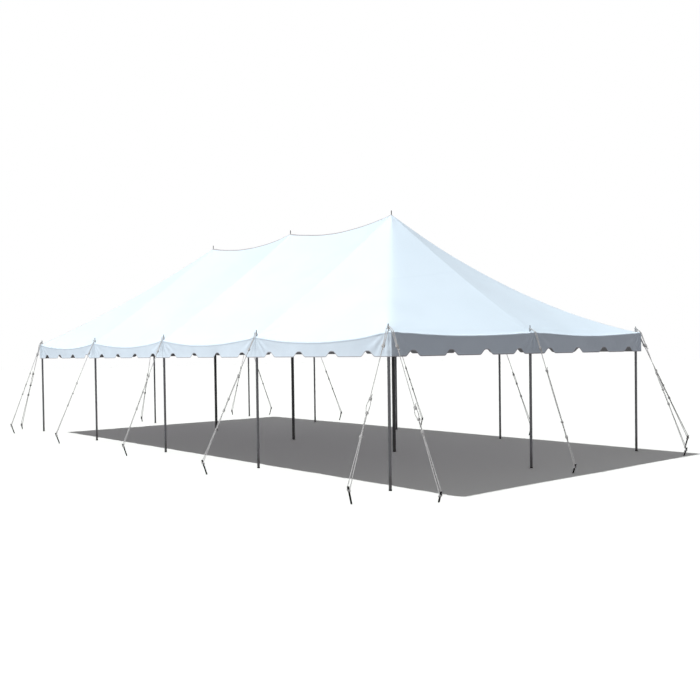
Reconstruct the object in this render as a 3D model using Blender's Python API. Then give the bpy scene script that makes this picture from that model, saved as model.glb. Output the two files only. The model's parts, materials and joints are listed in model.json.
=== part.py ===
"""Rope-and-pole marquee tent, 20 ft by 40 ft, with a white coated-fabric top.

The origin is on the ground at the middle of the plan. +X runs along the long side, +Y across it
and +Z up. The front is the long side at -Y. Four bays of ten feet stand along each long side and
two across each end, with three centre poles under the ridge. Everything is in metres.
"""
import math
from collections import namedtuple

import bmesh
import bpy
from mathutils import Matrix, Vector

# Plan and heights
BAY = 3.048
HALF_LENGTH = 2 * BAY
HALF_WIDTH = BAY
EAVE_HEIGHT = 2.134
PEAK_HEIGHT = 4.35

# Hang of the fabric, each one a drop below the straight line between its two ends
RIDGE_SAG = 0.147
SIDE_EAVE_SAG = 0.11
END_EAVE_SAG = 0.05
RAFTER_SAG = 0.05
SLOPE_SAG = 0.09
HIP_SAG = {(-1, -1): 0.12, (-1, 1): 0.16, (1, -1): 0.28, (1, 1): 0.32}

# Top sheet and its valance
SKIN = 0.004
CELLS = 8
SIDE_LIP = 0.03
END_LIP = 0.09
LIP_FALL = 0.012
VALANCE_FOOT = 1.785
NOTCHES = 4
NOTCH_WIDTH = 0.27
NOTCH_HEIGHT = 0.08
NOTCH_ROUNDNESS = 1.9
NOTCH_STEPS = (-1.0, -0.75, -0.4, 0.0, 0.4, 0.75, 1.0)

# Poles
SIDES = 10
PIN_RADIUS = 0.008
PIN_CHAMFER = 0.004
SIDE_POLE_RADIUS = 0.021
SIDE_PIN_LENGTH = 0.095
CENTRE_POLE_RADIUS = 0.030
CENTRE_PIN_LENGTH = 0.075
FOOT_RIM = 0.003
FOOT_HEIGHT = 0.02
EAVE_SHOULDER_SLOPE = 0.80
PEAK_SHOULDER_SLOPE = 0.98
SHOULDER_CLEARANCE = 0.002

# Guy ropes, in a frame with its origin on the ground at the pole and its first axis outwards
ROPE_RADIUS = 0.0065
ROPE_GAP = 0.0006
EYE_LIFT = 0.021
EYE_TAIL = 0.028
EYE_STEPS = 6
KNOT_AT = 0.42
KNOT_HALF_LENGTH = 0.03
KNOT_SWELL = 2.4
FALL_END_AT = 0.48
STAKE_STEPS = 6

# Stakes, the part above the ground. Each pair is the distance from the pole and the splay in
# degrees, from the left of the front side and from the front of the right side.
LONG_SIDE_STAKES = ((0.72, 0.0), (0.84, 0.0), (0.80, 0.0), (0.97, 0.0), (1.08, 20.0))
SHORT_SIDE_STAKES = ((1.03, -9.0), (0.75, 0.0), (0.88, 0.0))
STAKE_RADIUS = 0.0125
STAKE_HEAD_RADIUS = 0.017
STAKE_HEAD_DEPTH = 0.014
SIDE_STAKE_TOP = 0.23
END_STAKE_TOP = 0.14
STAKE_LEAN = 0.36
ROPE_BELOW_TOP = 0.03

GAP = 0.0003
MERGE = 0.00001


def clear_scene():
    for thing in list(bpy.data.objects):
        bpy.data.objects.remove(thing, do_unlink=True)


def make_material(name, colour, roughness, metallic):
    material = bpy.data.materials.new(name)
    material.use_nodes = True
    shader = material.node_tree.nodes["Principled BSDF"]
    shader.inputs["Base Color"].default_value = (*colour, 1.0)
    shader.inputs["Roughness"].default_value = roughness
    shader.inputs["Metallic"].default_value = metallic
    material.diffuse_color = (*colour, 1.0)
    return material


def add_object(name, data, material, location=(0.0, 0.0, 0.0), turn=0.0):
    data.materials.clear()
    data.materials.append(material)
    thing = bpy.data.objects.new(name, data)
    thing.location = location
    thing.rotation_euler.z = turn
    bpy.context.scene.collection.objects.link(thing)
    return thing


def finish_mesh(bm, name, smooth_angle=None):
    bmesh.ops.recalc_face_normals(bm, faces=bm.faces)
    mesh = bpy.data.meshes.new(name)
    bm.to_mesh(mesh)
    bm.free()
    if smooth_angle is not None:
        mesh.shade_smooth()
        mesh.set_sharp_from_angle(angle=smooth_angle)
    return mesh


def hump(share):
    """A parabola that is 0 at the two ends of a span and 1 at its middle."""
    return 4.0 * share * (1.0 - share)


def bay_height(x, y):
    """Roof between two centre poles: ridge and eave hang like cables, the slope between them dips."""
    along = (abs(x) % BAY) / BAY
    up = 1.0 - abs(y) / HALF_WIDTH
    ridge = PEAK_HEIGHT - RIDGE_SAG * hump(along)
    eave = EAVE_HEIGHT - SIDE_EAVE_SAG * hump(along)
    dip = RAFTER_SAG + (SLOPE_SAG - RAFTER_SAG) * math.sin(math.pi * along) ** 2
    return eave + (ridge - eave) * up - dip * hump(up)


def end_height(x, y):
    """Roof beyond the last centre pole: two three-cornered sheets that meet on the hip."""
    along = (abs(x) - BAY) / BAY
    across = abs(y) / HALF_WIDTH
    peak = 1.0 - max(along, across)
    corner = min(along, across)
    pole = abs(along - across)
    hip_sag = HIP_SAG[(1 if x > 0 else -1, 1 if y > 0 else -1)]
    eave_sag = SIDE_EAVE_SAG if across > along else END_EAVE_SAG
    drop = 4.0 * (hip_sag * peak * corner + RAFTER_SAG * peak * pole + eave_sag * corner * pole)
    return EAVE_HEIGHT + (PEAK_HEIGHT - EAVE_HEIGHT) * peak - drop


def roof_height(x, y):
    """Top of the sheet at a point of the plan; past the pole line the lip falls away."""
    inside_x = max(-HALF_LENGTH, min(HALF_LENGTH, x))
    inside_y = max(-HALF_WIDTH, min(HALF_WIDTH, y))
    past = max(abs(x - inside_x) / END_LIP, abs(y - inside_y) / SIDE_LIP)
    height = end_height if abs(inside_x) > BAY else bay_height
    return height(inside_x, inside_y) - LIP_FALL * past


def stations(half_span, lip):
    """Grid lines from one lip to the other, at equal steps between the pole lines."""
    step = BAY / CELLS
    count = round(half_span / step)
    inner = [index * step for index in range(-count, count + 1)]
    return [-half_span - lip] + inner + [half_span + lip]


def thicken(bm, offset):
    """Close an open sheet into a solid with a copy of it moved by the offset."""
    copy = bmesh.ops.duplicate(bm, geom=bm.verts[:] + bm.edges[:] + bm.faces[:])["geom"]
    verts = [item for item in copy if isinstance(item, bmesh.types.BMVert)]
    faces = [item for item in copy if isinstance(item, bmesh.types.BMFace)]
    bmesh.ops.translate(bm, verts=verts, vec=offset)
    bmesh.ops.reverse_faces(bm, faces=faces)
    rims = [edge for edge in bm.edges if edge.is_boundary]
    bmesh.ops.bridge_loops(bm, edges=rims)
    bmesh.ops.triangulate(bm, faces=[face for face in bm.faces if len(face.verts) > 3])


def canopy_mesh():
    """The whole top as one sheet, its facets split along the hips."""
    bm = bmesh.new()
    xs = stations(HALF_LENGTH, END_LIP)
    ys = stations(HALF_WIDTH, SIDE_LIP)
    grid = [[bm.verts.new((x, y, roof_height(x, y))) for y in ys] for x in xs]
    for i in range(len(xs) - 1):
        for j in range(len(ys) - 1):
            a, b, c, d = grid[i][j], grid[i + 1][j], grid[i + 1][j + 1], grid[i][j + 1]
            rising = (xs[i] + xs[i + 1]) * (ys[j] + ys[j + 1]) > 0
            if rising:
                bm.faces.new((a, b, c))
                bm.faces.new((a, c, d))
            else:
                bm.faces.new((a, b, d))
                bm.faces.new((b, c, d))
    thicken(bm, (0.0, 0.0, -SKIN))
    return finish_mesh(bm, "canopy", math.radians(30))


def pole_places():
    """Foot of every side pole."""
    places = {}
    for number in range(5):
        x = -HALF_LENGTH + number * BAY
        places[f"front_{number + 1}"] = (x, -HALF_WIDTH)
        places[f"back_{number + 1}"] = (x, HALF_WIDTH)
    places["left_mid"] = (-HALF_LENGTH, 0.0)
    places["right_mid"] = (HALF_LENGTH, 0.0)
    return places


def centre_places():
    return {number: ((number - 2) * BAY, 0.0) for number in (1, 2, 3)}


Guy = namedtuple("Guy", "name foot angle offset splay at_end on_top")


def guy_places():
    """Every rope: its pole's foot, the angle it runs at, and if its eye lies above another one."""
    guys = []
    for number, (offset, splay) in enumerate(LONG_SIDE_STAKES):
        x = -HALF_LENGTH + number * BAY
        for side, sign in (("front", -1), ("back", 1)):
            foot = Vector((x, sign * HALF_WIDTH, 0.0))
            turn = math.radians(-sign * splay)
            angle = sign * math.pi / 2 + turn
            guys.append(Guy(f"{side}_{number + 1}", foot, angle, offset, turn, False, False))
    for number, (offset, splay) in enumerate(SHORT_SIDE_STAKES):
        y = -HALF_WIDTH + number * BAY
        for side, sign in (("left", -1), ("right", 1)):
            foot = Vector((sign * HALF_LENGTH, y, 0.0))
            turn = math.radians(sign * splay)
            angle = (0.0 if sign > 0 else math.pi) + turn
            name = f"{side}_{number + 1}"
            guys.append(Guy(name, foot, angle, offset, turn, True, number != 1))
    return guys


def pin_cutter():
    """One upright bar at every pole pin, a little wider than the pin."""
    bm = bmesh.new()
    feet = [(place, EAVE_HEIGHT) for place in pole_places().values()]
    feet += [(place, PEAK_HEIGHT) for place in centre_places().values()]
    for (x, y), height in feet:
        bmesh.ops.create_cone(bm, cap_ends=True, segments=SIDES, depth=0.3,
                              radius1=PIN_RADIUS + 2 * GAP, radius2=PIN_RADIUS + 2 * GAP,
                              matrix=Matrix.Translation((x, y, height)))
    cutter = bpy.data.objects.new("pin_cutter", finish_mesh(bm, "pin_cutter"))
    bpy.context.scene.collection.objects.link(cutter)
    cutter.hide_render = True
    cutter.display_type = "WIRE"
    return cutter


def build_canopy(material):
    canopy = add_object("canopy", canopy_mesh(), material)
    holes = canopy.modifiers.new("pin_holes", "BOOLEAN")
    holes.operation = "DIFFERENCE"
    holes.solver = "EXACT"
    holes.object = pin_cutter()


def notch_height(distance):
    """Height of the cut-out at a distance along the valance from a pole, 0 between notches."""
    pitch = BAY / NOTCHES
    offset = distance % pitch - pitch / 2
    share = min(1.0, abs(offset) / (NOTCH_WIDTH / 2))
    return NOTCH_HEIGHT * (1.0 - share ** NOTCH_ROUNDNESS)


def valance_stations(half_span, end):
    """Places along the eave where the valance's outline has a point."""
    pitch = BAY / NOTCHES
    first = -half_span + pitch / 2
    places = {-end, end}
    places.update(place for place in stations(half_span, 0.0)[1:-1])
    for number in range(round(2 * half_span / pitch)):
        middle = first + number * pitch
        places.update(middle + step * NOTCH_WIDTH / 2 for step in NOTCH_STEPS)
    merged = []
    for place in sorted(places):
        if not merged or place - merged[-1] > MERGE:
            merged.append(place)
    return merged


def valance_mesh(name, half_span, end, long_side, inward):
    """Hanging strip with rounded notches along its level lower edge, flush with the top's lip."""
    lines = stations(half_span, END_LIP if long_side else SIDE_LIP)
    other = HALF_WIDTH + SIDE_LIP if long_side else HALF_LENGTH + END_LIP
    heights = []
    for line in lines:
        point = (line, -inward * other) if long_side else (-inward * other, line)
        heights.append(roof_height(*point))

    def lip_height(place):
        index = max(i for i in range(len(lines) - 1) if lines[i] <= place + MERGE)
        share = (place - lines[index]) / (lines[index + 1] - lines[index])
        return heights[index] + (heights[index + 1] - heights[index]) * share

    bm = bmesh.new()
    top, bottom = [], []
    for place in valance_stations(half_span, end):
        upper = lip_height(place) - SKIN - GAP
        lower = VALANCE_FOOT + (notch_height(place + half_span) if abs(place) < half_span else 0.0)
        spot = (place, -inward * other) if long_side else (-inward * other, place)
        top.append(bm.verts.new((*spot, upper)))
        bottom.append(bm.verts.new((*spot, lower)))
    for i in range(len(top) - 1):
        bm.faces.new((bottom[i], bottom[i + 1], top[i + 1], top[i]))
    across = (0.0, inward * SKIN, 0.0) if long_side else (inward * SKIN, 0.0, 0.0)
    thicken(bm, across)
    return finish_mesh(bm, name)


def build_valances(material):
    long_end = HALF_LENGTH + END_LIP
    short_end = HALF_WIDTH + SIDE_LIP - SKIN - GAP
    for name, half_span, end, long_side, inward in (
        ("valance_front", HALF_LENGTH, long_end, True, 1),
        ("valance_back", HALF_LENGTH, long_end, True, -1),
        ("valance_left", HALF_WIDTH, short_end, False, 1),
        ("valance_right", HALF_WIDTH, short_end, False, -1),
    ):
        add_object(name, valance_mesh(name, half_span, end, long_side, inward), material)


def turned_mesh(name, profile):
    """Solid of revolution about Z from (radius, height) pairs that start and end on the axis."""
    bm = bmesh.new()
    chain = [bm.verts.new((radius, 0.0, height)) for radius, height in profile]
    edges = [bm.edges.new(pair) for pair in zip(chain, chain[1:])]
    bmesh.ops.spin(bm, geom=chain + edges, cent=(0, 0, 0), axis=(0, 0, 1),
                   angle=math.tau, steps=SIDES, use_merge=True)
    bmesh.ops.remove_doubles(bm, verts=bm.verts, dist=MERGE)
    return finish_mesh(bm, name, math.radians(40))


def pole_mesh(name, radius, top_height, pin_length, slope):
    """Tube with a foot cap, a coned shoulder under the sheet and a pin through its eyelet."""
    shoulder_top = top_height - SKIN - slope * PIN_RADIUS - SHOULDER_CLEARANCE
    shoulder = shoulder_top - slope * (radius - PIN_RADIUS)
    tip = top_height + pin_length
    return turned_mesh(name, [
        (0.0, 0.0),
        (radius + FOOT_RIM, 0.0),
        (radius + FOOT_RIM, FOOT_HEIGHT),
        (radius, FOOT_HEIGHT),
        (radius, shoulder),
        (PIN_RADIUS, shoulder_top),
        (PIN_RADIUS, tip - PIN_CHAMFER),
        (PIN_RADIUS - PIN_CHAMFER, tip),
        (0.0, tip),
    ])


def build_poles(side_material, centre_material):
    side = pole_mesh("side_pole", SIDE_POLE_RADIUS, EAVE_HEIGHT, SIDE_PIN_LENGTH,
                     EAVE_SHOULDER_SLOPE)
    centre = pole_mesh("centre_pole", CENTRE_POLE_RADIUS, PEAK_HEIGHT, CENTRE_PIN_LENGTH,
                       PEAK_SHOULDER_SLOPE)
    for name, (x, y) in pole_places().items():
        add_object(f"pole_{name}", side, side_material, (x, y, 0.0))
    for number, (x, y) in centre_places().items():
        add_object(f"centre_pole_{number}", centre, centre_material, (x, y, 0.0))


def stake_mesh(name, top):
    """Bar driven in at a slant: the turned shape is sheared so that it meets the ground flat."""
    mesh = turned_mesh(name, [
        (0.0, 0.0),
        (STAKE_RADIUS, 0.0),
        (STAKE_RADIUS, top - STAKE_HEAD_DEPTH),
        (STAKE_HEAD_RADIUS, top - STAKE_HEAD_DEPTH / 2),
        (STAKE_HEAD_RADIUS, top),
        (0.0, top),
    ])
    shear = Matrix.Identity(4)
    shear[0][2] = STAKE_LEAN
    mesh.transform(shear)
    return mesh


def build_stakes(material):
    side = stake_mesh("side_stake", SIDE_STAKE_TOP)
    end = stake_mesh("end_stake", END_STAKE_TOP)
    for guy in guy_places():
        reach = Vector((math.cos(guy.angle), math.sin(guy.angle), 0.0)) * guy.offset
        mesh = end if guy.at_end else side
        add_object(f"stake_{guy.name}", mesh, material, guy.foot + reach, guy.angle)


def guy_route(at_end, on_top, offset, splay):
    """Points and thicknesses of one rope: an eye on the pin, the lip, a knot, and round the stake."""
    reach = PIN_RADIUS + ROPE_RADIUS + ROPE_GAP
    level = EAVE_HEIGHT + EYE_LIFT + (2 * ROPE_RADIUS + ROPE_GAP if on_top else 0.0)
    points = [(Vector((EYE_TAIL, reach, level)), 1.0)]
    for step in range(EYE_STEPS + 1):
        angle = math.pi / 2 + math.pi * step / EYE_STEPS
        points.append((Vector((reach * math.cos(angle), reach * math.sin(angle), level)), 1.0))
    points.append((Vector((EYE_TAIL, -reach, level - ROPE_GAP)), 1.0))

    square_reach = END_LIP if at_end else SIDE_LIP
    lip_reach = (square_reach + reach * math.sin(splay)) / math.cos(splay)
    lip = Vector((lip_reach, -reach, EAVE_HEIGHT - LIP_FALL))
    held_at = (END_STAKE_TOP if at_end else SIDE_STAKE_TOP) - ROPE_BELOW_TOP
    hold = Vector((offset + STAKE_LEAN * held_at, 0.0, held_at))
    down = (hold - Vector((lip_reach, 0.0, lip.z))).normalized()
    clear = ROPE_RADIUS + ROPE_GAP
    roof_normal = Vector((LIP_FALL, 0.0, lip_reach)).normalized()
    outer_normal = Vector((-down.z, 0.0, down.x))
    over = lip + roof_normal * clear
    start = lip + outer_normal * clear
    points.append((over, 1.0))
    points.append((start, 1.0))

    run = hold - Vector((start.x, 0.0, start.z))
    length = run.length
    half_wrap = STAKE_RADIUS + ROPE_RADIUS + ROPE_GAP
    slant = half_wrap / (down.x - STAKE_LEAN * down.z)

    def on_line(share, sideways):
        spot = Vector((start.x, 0.0, start.z)) + run * share
        spot.y = sideways
        return spot

    knot = KNOT_HALF_LENGTH / length
    points.append((on_line(KNOT_AT - knot, 0.0), 1.0))
    points.append((on_line(KNOT_AT - knot / 2, 0.0), KNOT_SWELL))
    points.append((on_line(KNOT_AT + knot / 2, 0.0), KNOT_SWELL))
    points.append((on_line(KNOT_AT + knot, 0.0), 1.0))
    for step in range(STAKE_STEPS + 1):
        angle = math.pi * step / STAKE_STEPS
        spot = hold + down * (slant * math.sin(angle))
        spot.y = -half_wrap * math.cos(angle)
        points.append((spot, 1.0))
    points.append((on_line(FALL_END_AT, 2 * ROPE_RADIUS + ROPE_GAP), 1.0))
    return points


def guy_curve(name, at_end, on_top, offset, splay):
    curve = bpy.data.curves.new(name, "CURVE")
    curve.dimensions = "3D"
    curve.bevel_depth = ROPE_RADIUS
    curve.bevel_resolution = 1
    curve.use_fill_caps = True
    route = guy_route(at_end, on_top, offset, splay)
    spline = curve.splines.new("POLY")
    spline.points.add(len(route) - 1)
    for point, (place, thickness) in zip(spline.points, route):
        point.co = (*place, 1.0)
        point.radius = thickness
    return curve


def build_guys(material):
    curves = {}
    for guy in guy_places():
        kind = (guy.at_end, guy.on_top, guy.offset, abs(guy.splay))
        if kind not in curves:
            curves[kind] = guy_curve("guy_rope", *kind)
        add_object(f"guy_{guy.name}", curves[kind], material, guy.foot, guy.angle)


def main():
    clear_scene()
    sheet = make_material("white_sheet", (0.86, 0.90, 0.93), 0.45, 0.0)
    valance = make_material("valance_sheet", (0.82, 0.86, 0.90), 0.45, 0.0)
    tube = make_material("galvanised_tube", (0.42, 0.44, 0.45), 0.45, 0.9)
    centre_tube = make_material("centre_tube", (0.34, 0.35, 0.36), 0.45, 0.9)
    rope = make_material("white_rope", (0.74, 0.73, 0.70), 0.85, 0.0)
    iron = make_material("stake_iron", (0.05, 0.05, 0.05), 0.6, 0.8)
    build_canopy(sheet)
    build_valances(valance)
    build_poles(tube, centre_tube)
    build_stakes(iron)
    build_guys(rope)


main()
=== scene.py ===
"""Looks of a rope-and-pole marquee tent, 20 ft by 40 ft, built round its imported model.

The frame's origin is on the ground at the middle of the plan, +X runs along the long side, +Y
across it and +Z up. The front is the long side at -Y. Everything is in metres. Every rigid piece
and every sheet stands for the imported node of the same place, and nothing turns or slides.
"""

import json
import logging
import math
from dataclasses import dataclass, field
from enum import Enum

import bpy
import numpy as np
from mathutils import Matrix, Vector, noise

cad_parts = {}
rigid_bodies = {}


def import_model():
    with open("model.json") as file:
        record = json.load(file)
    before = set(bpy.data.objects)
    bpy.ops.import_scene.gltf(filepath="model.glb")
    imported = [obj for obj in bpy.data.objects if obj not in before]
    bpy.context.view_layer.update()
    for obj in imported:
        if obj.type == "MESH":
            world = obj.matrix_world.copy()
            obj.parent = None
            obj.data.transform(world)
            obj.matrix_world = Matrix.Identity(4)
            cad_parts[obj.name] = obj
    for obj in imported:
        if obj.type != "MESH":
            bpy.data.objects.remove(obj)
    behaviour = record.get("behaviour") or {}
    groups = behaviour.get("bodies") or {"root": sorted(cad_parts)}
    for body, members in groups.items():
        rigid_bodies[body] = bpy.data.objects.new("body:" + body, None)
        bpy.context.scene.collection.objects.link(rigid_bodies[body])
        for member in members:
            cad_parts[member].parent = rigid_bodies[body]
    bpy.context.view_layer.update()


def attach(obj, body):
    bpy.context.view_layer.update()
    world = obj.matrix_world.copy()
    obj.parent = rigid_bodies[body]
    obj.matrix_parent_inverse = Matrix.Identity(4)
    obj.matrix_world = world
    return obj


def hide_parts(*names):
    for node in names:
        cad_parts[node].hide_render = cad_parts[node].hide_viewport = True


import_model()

BODY = "root"
MERGE = 0.00001

# Distance of each stake from its pole and the splay of its rope in degrees, from the left of the
# front side and from the front of the right side
LONG_SIDE_STAKES = ((0.72, 0.0), (0.84, 0.0), (0.80, 0.0), (0.97, 0.0), (1.08, 20.0))
SHORT_SIDE_STAKES = ((1.03, -9.0), (0.75, 0.0), (0.88, 0.0))

log = logging.getLogger("marquee")


def smooth_step(value: np.ndarray, low: float, high: float) -> np.ndarray:
    """0 under low, 1 over high and a soft step between the two."""
    share = np.clip((value - low) / (high - low), 0.0, 1.0)
    return share * share * (3.0 - 2.0 * share)


@dataclass(frozen=True)
class TentForm:
    """Plan, heights and hang of the fabric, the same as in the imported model."""

    bay: float = 3.048
    eave_height: float = 2.134
    peak_height: float = 4.35
    ridge_sag: float = 0.147
    side_eave_sag: float = 0.11
    end_eave_sag: float = 0.05
    rafter_sag: float = 0.05
    slope_sag: float = 0.09
    hip_sag: tuple[tuple[float, float], tuple[float, float]] = ((0.12, 0.16), (0.28, 0.32))
    hip_round: float = 0.05
    side_lip: float = 0.03
    end_lip: float = 0.09
    lip_fall: float = 0.012
    roll_start: float = 0.03
    valance_foot: float = 1.785
    end_bays: int = 2
    side_bays: int = 4

    @property
    def half_length(self) -> float:
        """Half of the long side, from pole line to pole line."""
        return self.bay * self.side_bays / 2

    @property
    def half_width(self) -> float:
        """Half of the short side, from pole line to pole line."""
        return self.bay * self.end_bays / 2

    @staticmethod
    def hump(share: np.ndarray) -> np.ndarray:
        """A parabola that is 0 at the two ends of a span and 1 at its middle."""
        return 4.0 * share * (1.0 - share)

    def bay_height(self, x: np.ndarray, y: np.ndarray) -> np.ndarray:
        """Roof between two centre poles, where ridge and eave hang like cables.

        Args:
            x: Places along the tent.
            y: Places across it.

        Returns:
            Height of the sheet's top face at each place.
        """
        along = (np.abs(x) % self.bay) / self.bay
        up = 1.0 - np.abs(y) / self.half_width
        ridge = self.peak_height - self.ridge_sag * self.hump(along)
        eave = self.eave_height - self.side_eave_sag * self.hump(along)
        extra = self.slope_sag - self.rafter_sag
        dip = self.rafter_sag + extra * np.sin(math.pi * along) ** 2
        return eave + (ridge - eave) * up - dip * self.hump(up)

    def end_height(self, x: np.ndarray, y: np.ndarray) -> np.ndarray:
        """Roof beyond the last centre pole, where each corner hangs slack between two rafters.

        Args:
            x: Places along the tent.
            y: Places across it.

        Returns:
            Height of the sheet's top face at each place.
        """
        along = np.maximum(0.0, np.abs(x) - self.bay) / self.bay
        across = np.abs(y) / self.half_width
        middle = (along + across) / 2
        pole = np.abs(along - across)
        rounding = self.hip_round * self.hump(np.clip(middle, 0.0, 1.0))
        soft = np.sqrt(pole ** 2 + rounding ** 2)
        peak = 1.0 - middle - soft / 2
        corner = middle - soft / 2
        (left_front, left_back), (right_front, right_back) = self.hip_sag
        left = np.where(y > 0, left_back, left_front)
        right = np.where(y > 0, right_back, right_front)
        hip = np.where(x > 0, right, left)
        eave = np.where(across > along, self.side_eave_sag, self.end_eave_sag)
        hip = hip - self.hip_round * (self.peak_height - self.eave_height) / 2
        drop = 4.0 * (hip * peak * corner + self.rafter_sag * peak * pole + eave * corner * pole)
        return self.eave_height + (self.peak_height - self.eave_height) * peak - drop

    def roof_height(self, x: np.ndarray, y: np.ndarray) -> np.ndarray:
        """Top face of the sheet at places of the plan; beside the pole line it rolls over.

        Args:
            x: Places along the tent.
            y: Places across it.

        Returns:
            Height of the sheet's top face at each place.
        """
        inside_x = np.clip(x, -self.half_length, self.half_length)
        inside_y = np.clip(y, -self.half_width, self.half_width)
        start = self.roll_start
        past_x = (np.abs(x) - self.half_length + start) / (self.end_lip + start)
        past_y = (np.abs(y) - self.half_width + start) / (self.side_lip + start)
        rolled = np.clip(np.maximum(past_x, past_y), 0.0, 1.0) ** 2
        roof = np.where(np.abs(inside_x) > self.bay, self.end_height(inside_x, inside_y),
                        self.bay_height(inside_x, inside_y))
        return roof - self.lip_fall * rolled

    def pin_places(self) -> list[tuple[float, float]]:
        """Plan of every pole pin, which all lie on one square lattice."""
        return [(-self.half_length + i * self.bay, -self.half_width + j * self.bay)
                for i in range(self.side_bays + 1) for j in range(self.end_bays + 1)]


FORM = TentForm()


class Side(Enum):
    """The four sides of the plan: name, outward direction and if it is a long side."""

    FRONT = ("front", (0, -1), True)
    BACK = ("back", (0, 1), True)
    LEFT = ("left", (-1, 0), False)
    RIGHT = ("right", (1, 0), False)

    def __init__(self, word: str, outward: tuple[int, int], is_long: bool) -> None:
        """Keeps the three values under plain names."""
        self.word = word
        self.outward = outward
        self.is_long = is_long


# Shader nodes and finishes


class Shading:
    """One material and short ways of adding and linking its nodes."""

    def __init__(self, name: str) -> None:
        """Starts a node material with only its Principled BSDF and its output."""
        self.material = bpy.data.materials.new(name)
        self.material.use_nodes = True
        self.tree = self.material.node_tree
        self.shader = self.tree.nodes["Principled BSDF"]

    def put(self, socket: bpy.types.NodeSocket, value: object) -> None:
        """Links an output to a socket, or sets the socket's own value."""
        if isinstance(value, bpy.types.NodeSocket):
            self.tree.links.new(value, socket)
        else:
            socket.default_value = value

    def add(self, kind: str, inputs: dict | None = None, **settings: object) -> bpy.types.Node:
        """Adds a node.

        Args:
            kind: Node type, without its ShaderNode prefix.
            inputs: Values or outputs for its sockets, by name or number.
            settings: Properties of the node itself.

        Returns:
            The new node.
        """
        node = self.tree.nodes.new("ShaderNode" + kind)
        for key, value in settings.items():
            setattr(node, key, value)
        for key, value in (inputs or {}).items():
            self.put(node.inputs[key], value)
        return node

    def math(self, operation: str, first: object, second: object = 0.0) -> bpy.types.NodeSocket:
        """A Math node's result."""
        return self.add("Math", {0: first, 1: second}, operation=operation).outputs[0]

    def band(self, distance: object, inner: float, outer: float) -> bpy.types.NodeSocket:
        """1 where a distance is under inner, 0 past outer, and a soft step between the two."""
        inputs = {"Value": distance, "From Min": inner, "From Max": outer, "To Min": 1.0,
                  "To Max": 0.0}
        step = self.add("MapRange", inputs, interpolation_type="SMOOTHSTEP")
        return step.outputs["Result"]

    def spread(self, value: object, low: float, high: float, to: tuple[float, float],
               ) -> bpy.types.NodeSocket:
        """A value's stretch from low to high, spread over the range that is asked for."""
        inputs = {"Value": value, "From Min": low, "From Max": high, "To Min": to[0],
                  "To Max": to[1]}
        return self.add("MapRange", inputs).outputs["Result"]

    def blend(self, share: object, below: object, above: object) -> bpy.types.NodeSocket:
        """A colour between two others, by a share from 0 to 1."""
        node = self.add("Mix", {"Factor": share}, data_type="RGBA")
        for number, colour in ((6, below), (7, above)):
            self.put(node.inputs[number], rgba(colour))
        return node.outputs[2]

    def mottle(self, scale: float, detail: float, stretch: tuple[float, float, float] = (1, 1, 1),
               source: str = "Object") -> bpy.types.NodeSocket:
        """Noise on the piece's own coordinates, from 0 to 1.

        Args:
            scale: How fine the noise is.
            detail: How many octaves it has.
            stretch: Factor on each axis, under 1 to draw the noise out.
            source: Output of Texture Coordinate that it reads.

        Returns:
            The noise's factor.
        """
        place = self.add("TexCoord").outputs[source]
        turned = self.add("Mapping", {"Vector": place, "Scale": stretch}).outputs[0]
        inputs = {"Vector": turned, "Scale": scale, "Detail": detail}
        return self.add("TexNoise", inputs).outputs["Fac"]

    def bump(self, height: object, distance: float, strength: float,
             under: bpy.types.NodeSocket | None = None) -> bpy.types.NodeSocket:
        """A Bump node's normal, on top of another one if it is given."""
        inputs = {"Height": height, "Distance": distance, "Strength": strength}
        if under is not None:
            inputs["Normal"] = under
        return self.add("Bump", inputs).outputs[0]

    def finish(self, colour: object, roughness: object, normal: object = None,
               metallic: float = 0.0, specular: float = 0.5) -> bpy.types.Material:
        """Feeds the shader and hands over the material."""
        self.put(self.shader.inputs["Base Color"], rgba(colour))
        self.put(self.shader.inputs["Roughness"], roughness)
        self.shader.inputs["Metallic"].default_value = metallic
        self.shader.inputs["Specular IOR Level"].default_value = specular
        if normal is not None:
            self.put(self.shader.inputs["Normal"], normal)
        return self.material


def rgba(colour: object) -> object:
    """A colour of three numbers with its alpha, or a socket as it is."""
    return (*colour, 1.0) if isinstance(colour, tuple) and len(colour) == 3 else colour


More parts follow.
